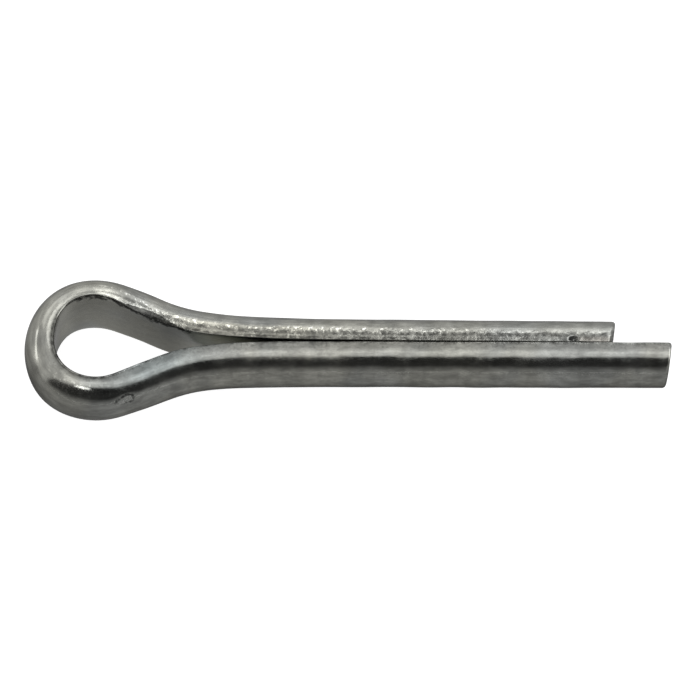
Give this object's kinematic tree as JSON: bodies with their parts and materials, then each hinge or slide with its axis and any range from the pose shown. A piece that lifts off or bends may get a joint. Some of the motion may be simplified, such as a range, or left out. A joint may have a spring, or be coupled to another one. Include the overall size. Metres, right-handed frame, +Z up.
{
  "type": "cotter pin",
  "caption": "Extended-prong cotter pin bent from half-round wire, with a round eye, a flared neck and two closed legs of unequal length.",
  "frame": {"origin": "on the shank's axis in the gauge plane, where the neck fills the hole that the pin is made for", "axes": "+X along the shank from the eye to the tips of the legs, +Z up, normal to the plane of the eye, with the short leg on the +Y side"},
  "size_m": [0.0435, 0.01, 0.0044],
  "materials": {
    "zinc_plate": "satin grey zinc plating over drawn steel wire, with a coarse grain and a faint yellow and blue tint"
  },
  "bodies": {
    "root": {"cotter_pin": "zinc_plate"}
  },
  "joints": []
}
